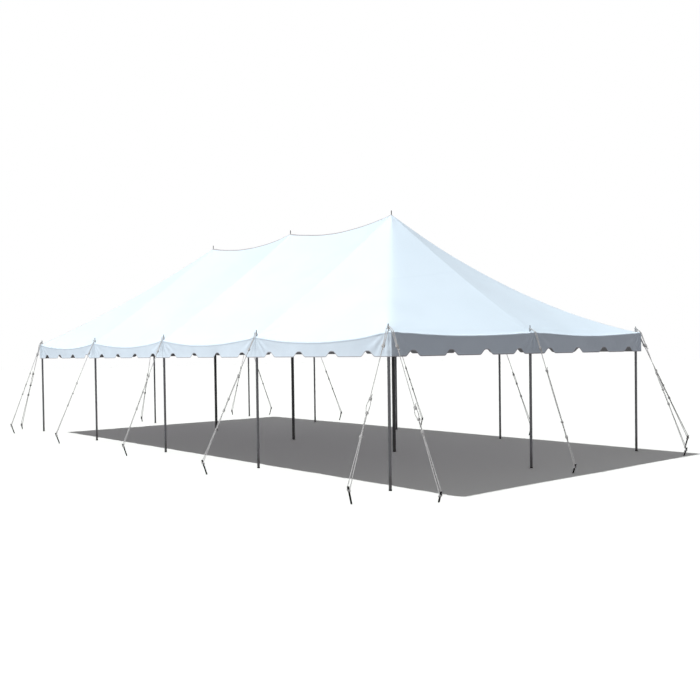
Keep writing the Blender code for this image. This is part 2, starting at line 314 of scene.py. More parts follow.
@dataclass(frozen=True)
class CoatedCloth:
    """White coated fabric: a fine scrim under a soft gloss, with faint soiling, in colours tinted
    blue that paint the cool light of the sky.
    """

    name: str
    # Both cloth colours are tinted blue: painted cool sky light on a neutral white vinyl.
    colour: tuple[float, float, float] = (0.745, 0.87, 0.965)
    shade: tuple[float, float, float] = (0.685, 0.81, 0.91)
    # Dark grey: the real hem tape of the valance, and on the roof a painted shade line along the
    # ridge and hips.
    tape_and_edge_shade: tuple[float, float, float] = (0.42, 0.41, 0.43)
    roughness: float = 0.42
    thread: float = 0.0016
    patch_radius: float = 0.17
    shaded_tape_width: float = 0.05
    weld_pitch: float = 1.524
    weld_width: float = 0.04

    def weave(self, shading: Shading) -> bpy.types.NodeSocket:
        """Height of the scrim's two sets of threads, from the sheet's own flat coordinates."""
        flat = shading.add("TexCoord").outputs["UV"]
        axes = shading.add("SeparateXYZ", {0: flat})
        rate = math.tau / self.thread
        waves = [shading.math("SINE", shading.math("MULTIPLY", axes.outputs[n], rate))
                 for n in (0, 1)]
        return shading.math("MULTIPLY", *waves)

    def relief(self, shading: Shading, crush: bpy.types.NodeSocket) -> bpy.types.NodeSocket:
        """Normal with the small creases of a packed sheet and the weave on top of them."""
        creases = shading.bump(crush, 0.012, 0.22)
        return shading.bump(self.weave(shading), 0.0002, 0.25, creases)

    def soiled(self, shading: Shading, soil: bpy.types.NodeSocket) -> bpy.types.NodeSocket:
        """Base colour between the clean cloth and its slightly greyer shade."""
        return shading.blend(shading.spread(soil, 0.42, 0.75, (0.0, 0.55)), self.colour, self.shade)

    def roof(self) -> bpy.types.Material:
        """The top's finish, with seam tape on the ridge and hips darkened to paint the shade of
        their edges, welded panels and a patch at each pin.
        """
        shading = Shading(self.name + "_roof")
        place = shading.add("SeparateXYZ", {0: shading.add("TexCoord").outputs["Object"]})
        x, y = place.outputs[0], place.outputs[1]
        past_peak = shading.math("SUBTRACT", shading.math("ABSOLUTE", x), FORM.bay)
        aside = shading.math("ABSOLUTE", y)
        beyond = shading.math("MAXIMUM", past_peak, 0.0)
        off_line = shading.math("ABSOLUTE", shading.math("SUBTRACT", beyond, aside))
        strip = shading.band(off_line, self.shaded_tape_width * 0.5, self.shaded_tape_width * 0.6)
        # The front-right hip faces the camera, so it gets none of the painted edge shade.
        camera_facing_hip = shading.math("MULTIPLY", shading.band(y, -0.02, 0.0), shading.band(x, 3.06, 3.0))
        shaded_tape = shading.math("MULTIPLY", strip, shading.math("SUBTRACT", 1.0, camera_facing_hip))

        near_x = shading.math("PINGPONG", x, FORM.bay / 2)
        near_y = shading.math("PINGPONG", y, FORM.bay / 2)
        square = shading.math("ADD", shading.math("POWER", near_x, 2.0),
                              shading.math("POWER", near_y, 2.0))
        from_pin = shading.math("SQRT", square)
        patch = shading.band(from_pin, self.patch_radius, self.patch_radius + 0.004)
        weld = shading.band(shading.math("PINGPONG", x, self.weld_pitch / 2),
                            self.weld_width / 2, self.weld_width / 2 + 0.003)
        double = shading.math("MAXIMUM", patch, weld)

        cloth = self.soiled(shading, shading.mottle(0.55, 5.0))
        layered = shading.blend(shading.math("MULTIPLY", double, 0.18), cloth, self.shade)
        # The dark line on the ridge and hips is seam tape darkened to paint edge shade.
        colour = shading.blend(shaded_tape, layered, self.tape_and_edge_shade)
        crush = shading.mottle(3.5, 6.0, (0.55, 1.0, 1.0))
        raised = shading.bump(double, 0.0012, 0.6, self.relief(shading, crush))
        gloss = shading.spread(shading.mottle(2.2, 4.0), 0.3, 0.7,
                               (self.roughness - 0.05, self.roughness + 0.08))
        return shading.finish(colour, gloss, raised, specular=0.35)

    def hanging(self) -> bpy.types.Material:
        """The valance's finish, with a stitched hem that follows its outline."""
        shading = Shading(self.name + "_valance")
        flat = shading.add("SeparateXYZ", {0: shading.add("TexCoord").outputs["UV"]})
        along, above = flat.outputs[0], flat.outputs[1]
        hem = shading.band(above, 0.0125, 0.0150)
        row = shading.band(shading.math("ABSOLUTE", shading.math("SUBTRACT", above, 0.0105)),
                           0.0005, 0.0009)
        dash = shading.band(shading.math("PINGPONG", along, 0.002), 0.0013, 0.0015)
        stitch = shading.math("MULTIPLY", row, dash)

        cloth = self.soiled(shading, shading.mottle(1.6, 5.0, (1.0, 1.0, 0.5)))
        edged = shading.blend(shading.math("MULTIPLY", hem, 0.75), cloth, self.tape_and_edge_shade)
        crush = shading.mottle(6.0, 6.0, (1.0, 1.0, 0.45))
        sewn = shading.bump(stitch, 0.0006, 0.7, self.relief(shading, crush))
        gloss = shading.spread(shading.mottle(5.0, 3.0), 0.3, 0.7,
                               (self.roughness - 0.04, self.roughness + 0.08))
        return shading.finish(edged, gloss, sewn, specular=0.35)

    def lining(self) -> bpy.types.Material:
        """The under side, white cloth painted dark grey for the shade inside the tent; it lets no
        light through.
        """
        shading = Shading(self.name + "_lining")
        soil = shading.spread(shading.mottle(0.9, 5.0), 0.35, 0.75, (0.0, 1.0))
        # Both greys are painted shade of the tent's inside; the noise between them varies the tone
        # at random.
        colour = shading.blend(soil, (0.36, 0.37, 0.38), (0.28, 0.29, 0.31))
        crush = shading.mottle(4.0, 5.0)
        return shading.finish(colour, 0.6, self.relief(shading, crush), specular=0.25)


@dataclass(frozen=True)
class GalvanisedSteel:
    """Zinc-coated tube with its crystal pattern, drawn streaks and a soiled foot."""

    name: str
    light: tuple[float, float, float] = (0.40, 0.425, 0.435)
    dark: tuple[float, float, float] = (0.27, 0.29, 0.30)
    soil: tuple[float, float, float] = (0.16, 0.155, 0.145)
    roughness: float = 0.42
    soil_height: float = 0.22

    def build(self) -> bpy.types.Material:
        """The tube's material."""
        shading = Shading(self.name)
        place = shading.add("TexCoord").outputs["Object"]
        spangle = shading.add("TexVoronoi", {"Vector": place, "Scale": 90.0}).outputs["Color"]
        grey = shading.add("SeparateXYZ", {0: spangle}).outputs[0]
        streak = shading.mottle(40.0, 4.0, (1.0, 1.0, 0.04))
        mixed = shading.math("ADD", shading.math("MULTIPLY", grey, 0.45),
                             shading.math("MULTIPLY", streak, 0.55))
        zinc = shading.blend(mixed, self.dark, self.light)
        height = shading.add("SeparateXYZ", {0: place}).outputs[2]
        splash = shading.math("MULTIPLY", shading.mottle(18.0, 5.0), self.soil_height)
        low = shading.band(shading.math("SUBTRACT", height, splash), 0.0, self.soil_height)
        colour = shading.blend(shading.math("MULTIPLY", low, 0.6), zinc, self.soil)
        rough = shading.spread(streak, 0.3, 0.7, (self.roughness - 0.06, self.roughness + 0.12))
        normal = shading.bump(mixed, 0.0008, 0.3)
        return shading.finish(colour, rough, normal, metallic=0.35)


@dataclass(frozen=True)
class BlackIron:
    """Forged bar with scale, hammer marks and a little rust."""

    name: str
    colour: tuple[float, float, float] = (0.028, 0.028, 0.03)
    rust: tuple[float, float, float] = (0.10, 0.055, 0.035)

    def build(self) -> bpy.types.Material:
        """The stake's material."""
        shading = Shading(self.name)
        spots = shading.spread(shading.mottle(55.0, 6.0), 0.58, 0.72, (0.0, 1.0))
        colour = shading.blend(spots, self.colour, self.rust)
        dents = shading.mottle(38.0, 3.0)
        rough = shading.spread(spots, 0.0, 1.0, (0.5, 0.85))
        return shading.finish(colour, rough, shading.bump(dents, 0.003, 0.45), metallic=0.6)


@dataclass(frozen=True)
class RopeFibre:
    """Laid polyester rope, off-white, with fine yarns along each strand."""

    name: str
    colour: tuple[float, float, float] = (0.74, 0.745, 0.74)
    shade: tuple[float, float, float] = (0.42, 0.425, 0.42)

    def build(self) -> bpy.types.Material:
        """The rope's material."""
        shading = Shading(self.name)
        yarn = shading.mottle(900.0, 2.0)
        soil = shading.mottle(7.0, 5.0)
        share = shading.math("ADD", shading.math("MULTIPLY", yarn, 0.45),
                             shading.math("MULTIPLY", soil, 0.45))
        colour = shading.blend(share, self.colour, self.shade)
        shading.shader.inputs["Sheen Weight"].default_value = 0.25
        return shading.finish(colour, 0.82, shading.bump(yarn, 0.0006, 0.5), specular=0.2)


@dataclass(frozen=True)
class DarkRubber:
    """Moulded cap under each pole, scuffed and dusty."""

    name: str
    colour: tuple[float, float, float] = (0.055, 0.058, 0.06)
    dust: tuple[float, float, float] = (0.17, 0.165, 0.155)

    def build(self) -> bpy.types.Material:
        """The foot cap's material."""
        shading = Shading(self.name)
        scuff = shading.spread(shading.mottle(60.0, 6.0), 0.45, 0.8, (0.0, 0.8))
        colour = shading.blend(scuff, self.colour, self.dust)
        return shading.finish(colour, 0.72, shading.bump(shading.mottle(220.0, 3.0), 0.0006, 0.4))


@dataclass
class Finishes:
    """Every material of the tent, made once."""

    cloth: CoatedCloth = field(default_factory=lambda: CoatedCloth("coated_cloth"))
    made: dict[str, bpy.types.Material] = field(default_factory=dict)

    def __post_init__(self) -> None:
        """Builds the materials under plain names."""
        # The centre poles get a darker copy of the galvanised steel: painted shade of the tent's
        # inside.
        centre = GalvanisedSteel("centre_steel", (0.15, 0.16, 0.16), (0.09, 0.10, 0.10))
        self.made = {
            "roof": self.cloth.roof(),
            "valance": self.cloth.hanging(),
            "lining": self.cloth.lining(),
            "side_tube": GalvanisedSteel("side_steel").build(),
            "centre_tube": centre.build(),
            "eyelet": GalvanisedSteel("eyelet_zinc", (0.62, 0.63, 0.64), (0.5, 0.5, 0.52)).build(),
            "foot": DarkRubber("foot_rubber").build(),
            "iron": BlackIron("stake_iron").build(),
            "rope": RopeFibre("laid_rope").build(),
        }

    def __getitem__(self, name: str) -> bpy.types.Material:
        """A finish by its plain name."""
        return self.made[name]


# Small modelling helpers


def deselect_all() -> None:
    """Leaves object mode clean: nothing selected and nothing active."""
    if bpy.context.object and bpy.context.object.mode != "OBJECT":
        bpy.ops.object.mode_set(mode="OBJECT")
    bpy.ops.object.select_all(action="DESELECT")
    bpy.context.view_layer.objects.active = None


def make_active(thing: bpy.types.Object) -> None:
    """Selects one object alone and makes it active."""
    deselect_all()
    thing.select_set(True)
    bpy.context.view_layer.objects.active = thing


def apply_modifiers(thing: bpy.types.Object) -> None:
    """Applies an object's modifiers from the top down."""
    make_active(thing)
    for modifier in list(thing.modifiers):
        bpy.ops.object.modifier_apply(modifier=modifier.name)


def apply_place(thing: bpy.types.Object) -> None:
    """Moves an object's place into its mesh."""
    thing.data.transform(thing.matrix_world)
    thing.matrix_world = Matrix.Identity(4)


def join(things: list[bpy.types.Object], name: str) -> bpy.types.Object:
    """Joins objects into the first one and names it.

    Args:
        things: Mesh objects.
        name: Name of the joined piece and of its mesh.

    Returns:
        The joined object.
    """
    make_active(things[0])
    for thing in things[1:]:
        thing.select_set(True)
    if len(things) > 1:
        bpy.ops.object.join()
    things[0].name = name
    things[0].data.name = name
    return things[0]


def hand_over(piece: bpy.types.Object, nodes: list[str]) -> None:
    """Rides a finished piece on the frame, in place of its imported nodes.

    Args:
        piece: The finished object, with its place in its mesh.
        nodes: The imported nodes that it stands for.
    """
    if nodes:
        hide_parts(*nodes)
    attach(piece, BODY)
    log.info("%s: %d faces", piece.name, len(piece.data.polygons))


def sheet_object(name: str, points: np.ndarray, faces: list[tuple[int, ...]], flat: np.ndarray,
                 materials: list[bpy.types.Material]) -> bpy.types.Object:
    """A sheet as an object, with its flat coordinates as its UV map.

    Args:
        name: Name of the piece.
        points: Places of the vertices, one row each.
        faces: Vertex numbers of each face, outwards.
        flat: Flat coordinates of each vertex, in metres.
        materials: Outer material, then lining.

    Returns:
        The new object, linked to the scene.
    """
    mesh = bpy.data.meshes.new(name)
    mesh.from_pydata(points.tolist(), [], faces)
    layer = mesh.uv_layers.new(name="flat")
    corners = np.zeros(len(mesh.loops), dtype=np.int32)
    mesh.loops.foreach_get("vertex_index", corners)
    layer.data.foreach_set("uv", flat[corners].astype(np.float32).ravel())
    for material in materials:
        mesh.materials.append(material)
    thing = bpy.data.objects.new(name, mesh)
    bpy.context.scene.collection.objects.link(thing)
    return thing


def give_thickness(thing: bpy.types.Object, thickness: float) -> None:
    """Merges a sheet's doubles, gives it its thickness inwards and shades it smooth."""
    make_active(thing)
    bpy.ops.object.mode_set(mode="EDIT")
    bpy.ops.mesh.select_all(action="SELECT")
    bpy.ops.mesh.remove_doubles(threshold=MERGE)
    bpy.ops.object.mode_set(mode="OBJECT")
    solid = thing.modifiers.new("cloth", "SOLIDIFY")
    solid.thickness = thickness
    solid.offset = -1.0
    solid.use_even_offset = False
    solid.material_offset = 1
    solid.material_offset_rim = 0
    apply_modifiers(thing)
    bpy.ops.object.shade_smooth()


def mottled(x: np.ndarray, y: np.ndarray, scale: tuple[float, float], layer: float) -> np.ndarray:
    """Smooth noise from -1 to 1 at places of a sheet.

    Args:
        x: First coordinate.
        y: Second coordinate.
        scale: Length of one bump along each coordinate.
        layer: Which slice of the noise is read.

    Returns:
        The noise at each place, in the shape of the inputs.
    """
    flat_x, flat_y = np.broadcast_arrays(x, y)
    values = [noise.noise(Vector((a / scale[0], b / scale[1], layer)))
              for a, b in zip(flat_x.ravel(), flat_y.ravel())]
    return np.array(values).reshape(flat_x.shape)


# The top sheet


@dataclass(frozen=True)
class Row:
    """One line of the sheet's grid: its place, its fall past the lip and its number there."""

    place: float
    fall: float
    turned: int


@dataclass
class TopSheet:
    """The whole top as one curved sheet with its folded lip, wrinkles and eyelet holes."""

    finishes: Finishes
    form: TentForm = FORM
    coarse: float = 0.064
    fine: float = 0.025
    fine_reach: float = 0.30
    hole: float = 0.0095
    thickness: float = 0.0012
    edge_round: float = 0.008
    turned_rows: tuple[tuple[float, float], ...] = (
        (-0.0045, 0.0014), (-0.0015, 0.0038), (0.0005, 0.0075), (0.0013, 0.0125),
        (0.0015, 0.0185), (0.0015, 0.0240))
    pin_fold: float = 0.0075
    pin_fold_reach: float = 0.15
    broad_fold: float = 0.007
    eave_fold: float = 0.006

    def half_bay(self) -> list[float]:
        """Distances from a pole line to mid-bay, closer together beside the pole."""
        near = [0.0, self.hole] + list(np.arange(self.fine, self.fine_reach, self.fine))
        middle = self.form.bay / 2
        count = math.ceil((middle - self.fine_reach) / self.coarse)
        return near + list(np.linspace(self.fine_reach, middle, count + 1))

    def lip_rows(self, lip: float) -> list[tuple[float, float, int]]:
        """Outward distance, fall and number of each row past the pole line."""
        flat = [self.hole, lip * 0.66, lip - self.edge_round]
        rows = [(distance, 0.0, 0) for distance in flat]
        for number, (past, fall) in enumerate(self.turned_rows, 1):
            rows.append((lip + past, fall, number))
        return rows

    def rows(self, bays: int, lip: float) -> list[Row]:
        """Every grid line across a number of bays, from lip to lip."""
        half = self.half_bay()
        whole = half + [self.form.bay - place for place in reversed(half[:-1])]
        span = self.form.bay * bays / 2
        inner = [Row(-span + bay * self.form.bay + place, 0.0, 0)
                 for bay in range(bays) for place in whole[:-1]]
        inner.append(Row(span, 0.0, 0))
        past = self.lip_rows(lip)
        before = [Row(-span - out, fall, turned) for out, fall, turned in reversed(past)]
        after = [Row(span + out, fall, turned) for out, fall, turned in past]
        return before + inner + after

    def folds(self, x: np.ndarray, y: np.ndarray) -> np.ndarray:
        """Height of the folds and wrinkles at places of the plan.

        Args:
            x: Places along the tent.
            y: Places across it.

        Returns:
            What is added to the taut sheet's height.
        """
        form = self.form
        from_x = np.abs((x + form.bay / 2) % form.bay - form.bay / 2)
        from_y = np.abs((y + form.bay / 2) % form.bay - form.bay / 2)
        from_pin = np.hypot(from_x, from_y)
        held = smooth_step(from_pin, 0.02, 0.7)
        broad = mottled(x, y, (1.1, 0.8), 0.3) + 0.5 * mottled(x, y, (0.42, 0.5), 4.1)

        turn = np.arctan2((y + form.bay / 2) % form.bay - form.bay / 2,
                          (x + form.bay / 2) % form.bay - form.bay / 2)
        wander = 2.5 * mottled(x, y, (0.5, 0.5), 8.7)
        near = from_pin / self.pin_fold_reach
        swell = near * np.exp(1.0 - near) * smooth_step(from_pin, 0.02, 0.10)
        rays = (0.5 + 0.5 * np.cos(9.0 * turn + wander)) ** 2 - 0.35

        to_side = form.half_width - np.abs(y)
        to_end = form.half_length - np.abs(x)
        along_side = form.hump((np.abs(x) % form.bay) / form.bay)
        along_end = form.hump((np.abs(y) % form.bay) / form.bay)
        eaves = self.crease(to_side, along_side, x) + self.crease(to_end, along_end, y + 40.0)
        return (self.broad_fold * held * broad + self.pin_fold * swell * rays
                + self.eave_fold * eaves)

    @staticmethod
    def crease(distance: np.ndarray, middle: np.ndarray, along: np.ndarray) -> np.ndarray:
        """Two long folds beside an eave that meet at the pins and stand apart at mid-bay."""
        wander = mottled(along, along * 0.0, (0.6, 1.0), 2.2)
        first = distance - (0.015 + 0.045 * middle + 0.012 * wander)
        second = distance - (0.03 + 0.13 * middle - 0.03 * wander)
        strength = 0.35 + 0.65 * mottled(along, along * 0.0, (0.35, 1.0), 6.4)
        shallow = np.exp(-(first / 0.016) ** 2) * -0.6
        deep = np.exp(-(second / 0.03) ** 2) * strength
        return (shallow + deep) * middle ** 0.5

    def grid(self) -> tuple[np.ndarray, np.ndarray, list[Row], list[Row]]:
        """Places and flat coordinates of the grid's points, and its two sets of rows."""
        form = self.form
        xs = self.rows(form.side_bays, form.end_lip)
        ys = self.rows(form.end_bays, form.side_lip)
        x = np.array([row.place for row in xs])[:, None] + np.zeros(len(ys))
        y = np.array([row.place for row in ys]) + np.zeros((len(xs), 1))
        fall_x = np.array([row.fall for row in xs])[:, None]
        fall_y = np.array([row.fall for row in ys])
        fall = np.maximum(fall_x, fall_y) + np.zeros_like(x)
        for i, row_x in enumerate(xs):
            for j, row_y in enumerate(ys):
                if row_x.turned and row_y.turned:
                    number = max(row_x.turned, row_y.turned) - 1
                    past, fall[i, j] = self.turned_rows[number]
                    x[i, j] = math.copysign(form.half_length + form.end_lip + past, row_x.place)
                    y[i, j] = math.copysign(form.half_width + form.side_lip + past, row_y.place)
        z = form.roof_height(x, y) - fall + self.folds(x, y)
        points = np.stack((x, y, z), axis=-1)
        return points, self.flattened(points), xs, ys

    @staticmethod
    def flattened(points: np.ndarray) -> np.ndarray:
        """Flat coordinates from the lengths along the sheet's middle lines."""
        count_x, count_y = points.shape[:2]
        along = np.linalg.norm(np.diff(points, axis=0), axis=-1).mean(axis=1)
        across = np.linalg.norm(np.diff(points, axis=1), axis=-1).mean(axis=0)
        u = np.concatenate(([0.0], np.cumsum(along)))
        v = np.concatenate(([0.0], np.cumsum(across)))
        return np.stack((u[:, None] + np.zeros(count_y), v + np.zeros((count_x, 1))), axis=-1)

    def faces(self, xs: list[Row], ys: list[Row]) -> list[tuple[int, int, int]]:
        """Triangles of the sheet, split along the hips, without those over a pin."""
        pins = [(x, y) for x, y in self.form.pin_places()]
        across = len(ys)
        made = []
        for i in range(len(xs) - 1):
            for j in range(across - 1):
                low, high = (xs[i].place, ys[j].place), (xs[i + 1].place, ys[j + 1].place)
                if any(low[0] - MERGE <= x <= high[0] + MERGE
                       and low[1] - MERGE <= y <= high[1] + MERGE for x, y in pins):
                    continue
                a, b = i * across + j, (i + 1) * across + j
                c, d = b + 1, a + 1
                if (low[0] + high[0]) * (low[1] + high[1]) > 0:
                    made += [(a, b, c), (a, c, d)]
                else:
                    made += [(a, b, d), (b, c, d)]
        return made

    def build(self) -> bpy.types.Object:
        """Returns:
            The finished top sheet.
        """
        points, flat, xs, ys = self.grid()
        sheet = sheet_object("top_sheet", points.reshape(-1, 3), self.faces(xs, ys),
                             flat.reshape(-1, 2), [self.finishes["roof"], self.finishes["lining"]])
        give_thickness(sheet, self.thickness)
        hand_over(sheet, ["canopy"])
        return sheet


@dataclass
class Eyelets:
    """A pressed ring round each pin, laid on the slope of the sheet."""

    finishes: Finishes
    form: TentForm = FORM
    segments: int = 32
    inner: float = 0.0092
    outer: float = 0.0185
    height: float = 0.0022
    bevel: float = 0.0007

    def model_ring(self) -> bpy.types.Object:
        """One ring: a rim that is extruded outwards and upwards, then bevelled."""
        deselect_all()
        bpy.ops.mesh.primitive_circle_add(vertices=self.segments, radius=self.outer,
                                          fill_type="NGON")
        ring = bpy.context.object
        bpy.ops.object.mode_set(mode="EDIT")
        bpy.ops.mesh.extrude_region_move(TRANSFORM_OT_translate={"value": (0, 0, self.height)})
        bpy.ops.mesh.inset(thickness=self.outer - self.inner)
        bpy.ops.mesh.delete(type="FACE")
        bpy.ops.object.mode_set(mode="OBJECT")
        lowest = [face.index for face in ring.data.polygons if face.normal.z < -0.9]
        bpy.ops.object.mode_set(mode="EDIT")
        bpy.ops.mesh.select_all(action="DESELECT")
        bpy.ops.object.mode_set(mode="OBJECT")
        for index in lowest:
            ring.data.polygons[index].select = True
        bpy.ops.object.mode_set(mode="EDIT")
        bpy.ops.mesh.select_mode(type="FACE")
        bpy.ops.mesh.inset(thickness=self.outer - self.inner)
        bpy.ops.mesh.delete(type="FACE")
        bpy.ops.mesh.select_mode(type="EDGE")
        bpy.ops.mesh.select_non_manifold()
        bpy.ops.mesh.bridge_edge_loops()
        bpy.ops.mesh.select_all(action="SELECT")
        bpy.ops.mesh.normals_make_consistent(inside=False)
        bpy.ops.object.mode_set(mode="OBJECT")
        edge = ring.modifiers.new("edge", "BEVEL")
        edge.width = self.bevel
        edge.segments = 2
        edge.limit_method = "ANGLE"
        apply_modifiers(ring)
        return ring

    def build(self) -> bpy.types.Object:
        """Copies the ring to every pin and lays each copy on the slope there.

        Returns:
            The joined rings.
        """
        first = self.model_ring()
        rings = []
        for number, (x, y) in enumerate(self.form.pin_places()):
            mesh = first.data.copy()
            ring = bpy.data.objects.new(f"eyelet_{number}", mesh)
            bpy.context.scene.collection.objects.link(ring)
            for vertex in mesh.vertices:
                spot = vertex.co
                low = self.form.roof_height(np.array(x + spot.x), np.array(y + spot.y))
                vertex.co = (x + spot.x, y + spot.y, spot.z + float(low))
            rings.append(ring)
        bpy.data.objects.remove(first)
        joined = join(rings, "eyelets")
        joined.data.materials.clear()
        joined.data.materials.append(self.finishes["eyelet"])
        make_active(joined)
        bpy.ops.object.shade_smooth_by_angle(angle=math.radians(40))
        hand_over(joined, [])
        return joined


# The valances


@dataclass
class Valance:
    """One hanging strip with bell-shaped notches, a stitched hem and its creases."""

    side: Side
    finishes: Finishes
    form: TentForm = FORM
    columns: int = 200
    rows: int = 11
    thickness: float = 0.001
    set_back: float = 0.0005
    under_lip: float = 0.007
    hem: float = 0.0125
    notches: int = 4
    notch_width: float = 0.30
    notch_height: float = 0.078
    drape: float = 0.010
    fan: float = 0.011
    corner_crush: float = 0.011

    @property
    def half_span(self) -> float:
        """Half of the pole line that it hangs along."""
        return self.form.half_length if self.side.is_long else self.form.half_width

    @property
    def past_corner(self) -> float:
        """How far the strip runs past its last pole."""
        if self.side.is_long:
            return self.form.end_lip - self.set_back
        return self.form.side_lip - 2 * self.set_back - self.thickness

    def notch(self, place: np.ndarray) -> np.ndarray:
        """Height of the cut-out at places along the strip."""
        pitch = self.form.bay / self.notches
        offset = np.abs((place + self.half_span) % pitch - pitch / 2)
        share = smooth_step(-offset, -self.notch_width / 2, -self.notch_width * 0.08)
        inside = np.abs(place) < self.half_span
        return np.where(inside, self.notch_height * share, 0.0)

    def plan(self, place: np.ndarray, outward: np.ndarray) -> tuple[np.ndarray, np.ndarray]:
        """Plan of points that lie outwards from the lip's edge by a small distance."""
        out_x, out_y = self.side.outward
        if self.side.is_long:
            return place, out_y * (self.form.half_width + self.form.side_lip + outward)
        return out_x * (self.form.half_length + self.form.end_lip + outward), place

    def bulge(self, place: np.ndarray, height: np.ndarray, top: np.ndarray) -> np.ndarray:
        """How far the cloth stands off its plane, outwards.

        Args:
            place: Places along the strip.
            height: Heights of the points.
            top: Height of the strip's upper edge above each point.

        Returns:
            The outward distance at each point.
        """
        seed = {Side.FRONT: 1.7, Side.BACK: 5.1, Side.LEFT: 9.3, Side.RIGHT: 13.9}[self.side]
        below = top - height
        free = smooth_step(below, 0.0, 0.22)
        waves = mottled(place, height, (0.33, 1.2), seed)
        waves += 0.35 * mottled(place, height, (0.10, 0.5), seed + 2.0)

        bay = self.form.bay
        from_pole = (place + bay / 2) % bay - bay / 2
        spoke = np.arctan2(from_pole, below + 0.03)
        reach = np.hypot(from_pole, below + 0.03)
        folds = np.cos(13.0 * spoke + 2.0 * mottled(place, height, (0.3, 0.3), seed + 5.0))
        fans = folds * np.exp(-(reach / 0.30) ** 2) * smooth_step(below, 0.0, 0.12)

        from_corner = self.half_span + self.past_corner - np.abs(place)
        crush = mottled(place, height, (0.055, 0.09), seed + 7.0)
        crushed = crush * np.exp(-(from_corner / 0.22) ** 2) * smooth_step(below, 0.01, 0.10)
        held = smooth_step(from_corner, 0.0, 0.05)
        out = self.drape * waves * free + self.fan * fans + self.corner_crush * crushed * 1.6
        return np.minimum(out * held, 0.009) - self.drape * 0.35 * free * held

    def heights(self, place: np.ndarray) -> tuple[np.ndarray, np.ndarray]:
        """Lower outline and upper edge of the strip at places along it."""
        x, y = self.plan(place, np.zeros_like(place))
        top = self.form.roof_height(x, y) - self.under_lip
        return self.form.valance_foot + self.notch(place), top

    def build(self) -> bpy.types.Object:
        """Returns:
            The finished valance.
        """
        bays = round(2 * self.half_span / self.form.bay)
        inner = np.linspace(-self.half_span, self.half_span, bays * self.columns + 1)
        past = np.linspace(0.0, self.past_corner, 7)[1:]
        place = np.concatenate((-self.half_span - past[::-1], inner, self.half_span + past))
        low, top = self.heights(place)
        shares = np.linspace(0.0, 1.0, self.rows + 1)[1:]
        levels = [low, low + self.hem * 0.4, low + self.hem]
        levels += [low + self.hem + (top - low - self.hem) * share for share in shares]
        height = np.stack(levels, axis=1)
        along = place[:, None] + np.zeros_like(height)
        out = self.bulge(along, height, top[:, None]) - self.set_back
        roll = np.zeros(height.shape[1])
        roll[1] = 0.0009
        x, y = self.plan(along, out + roll)
        points = np.stack((x + 0 * height, y + 0 * height, height), axis=-1)
        flat = np.stack((along - along.min(), height - low[:, None]), axis=-1)

        count = height.shape[1]
        outwards_first = (self.side in (Side.FRONT, Side.RIGHT))
        faces = []
        for i in range(len(place) - 1):
            for j in range(count - 1):
                a, b = i * count + j, (i + 1) * count + j
                quad = (a, b, b + 1, a + 1)
                faces.append(quad if outwards_first else quad[::-1])
        name = f"valance_sheet_{self.side.word}"
        strip = sheet_object(name, points.reshape(-1, 3), faces, flat.reshape(-1, 2),
                             [self.finishes["valance"], self.finishes["lining"]])
        give_thickness(strip, self.thickness)
        hand_over(strip, [f"valance_{self.side.word}"])
        return strip


# Poles and stakes


@dataclass(frozen=True)
class PoleKind:
    """Sizes of one kind of pole, with its coned shoulder and its pin."""

    radius: float
    top_height: float
    pin_length: float
    shoulder_slope: float
    finish: str
    slot: str
    pin_radius: float = 0.008
    pin_chamfer: float = 0.004
    foot_rim: float = 0.003
    foot_height: float = 0.02
    under_sheet: float = 0.006
    segments: int = 40

    @property
    def shoulder_top(self) -> float:
        """Height where the shoulder meets the pin, just under the sheet."""
        return self.top_height - self.under_sheet - self.shoulder_slope * self.pin_radius

    def foot_rings(self) -> list[tuple[float, float]]:
        """Radius and height of each ring of the foot cap after its first one."""
        outer = self.radius + self.foot_rim
        return [(outer, 0.0035), (outer, self.foot_height - 0.002),
                (outer - 0.0015, self.foot_height), (self.radius + 0.0004, self.foot_height)]

    def tube_rings(self) -> list[tuple[float, float]]:
        """Radius and height of each ring of the tube, its shoulder and its pin."""
        shoulder = self.shoulder_top - self.shoulder_slope * (self.radius - self.pin_radius)
        tip = self.top_height + self.pin_length
        rings = [(self.radius, shoulder * share) for share in (0.25, 0.5, 0.75, 0.995, 1.0)]
        bead = self.pin_radius + 0.002
        rings += [(bead, self.shoulder_top - 0.002), (self.pin_radius, self.shoulder_top + 0.001),
                  (self.pin_radius, tip - self.pin_chamfer),
                  (self.pin_radius - self.pin_chamfer * 0.6, tip - self.pin_chamfer * 0.25),
                  (self.pin_radius - self.pin_chamfer, tip)]
        return rings


class RingStack:
    """A turned piece that grows in edit mode, one ring of faces at a time."""

    def __init__(self, radius: float, height: float, segments: int) -> None:
        """Starts from a filled circle and leaves its face selected."""
        deselect_all()
        bpy.ops.mesh.primitive_circle_add(vertices=segments, radius=radius, fill_type="NGON",
                                          location=(0.0, 0.0, height))
        self.thing = bpy.context.object
        apply_place(self.thing)
        self.radius = radius
        self.height = height
        bpy.ops.object.mode_set(mode="EDIT")
        bpy.ops.mesh.select_all(action="SELECT")

    def rise(self, radius: float, height: float) -> None:
        """Extrudes the top face to a new height and a new radius."""
        lift = (0.0, 0.0, height - self.height)
        bpy.ops.mesh.extrude_region_move(TRANSFORM_OT_translate={"value": lift})
        share = radius / self.radius
        bpy.ops.transform.resize(value=(share, share, 1.0), center_override=(0.0, 0.0, height))
        self.radius = radius
        self.height = height

    def close(self, name: str) -> bpy.types.Object:
        """Leaves edit mode with the faces pointing outwards.

        Args:
            name: Name of the turned piece.

        Returns:
            The closed object.
        """
        bpy.ops.mesh.select_all(action="SELECT")
        bpy.ops.mesh.normals_make_consistent(inside=False)
        bpy.ops.object.mode_set(mode="OBJECT")
        self.thing.name = name
        bpy.ops.object.shade_smooth_by_angle(angle=math.radians(35))
        return self.thing


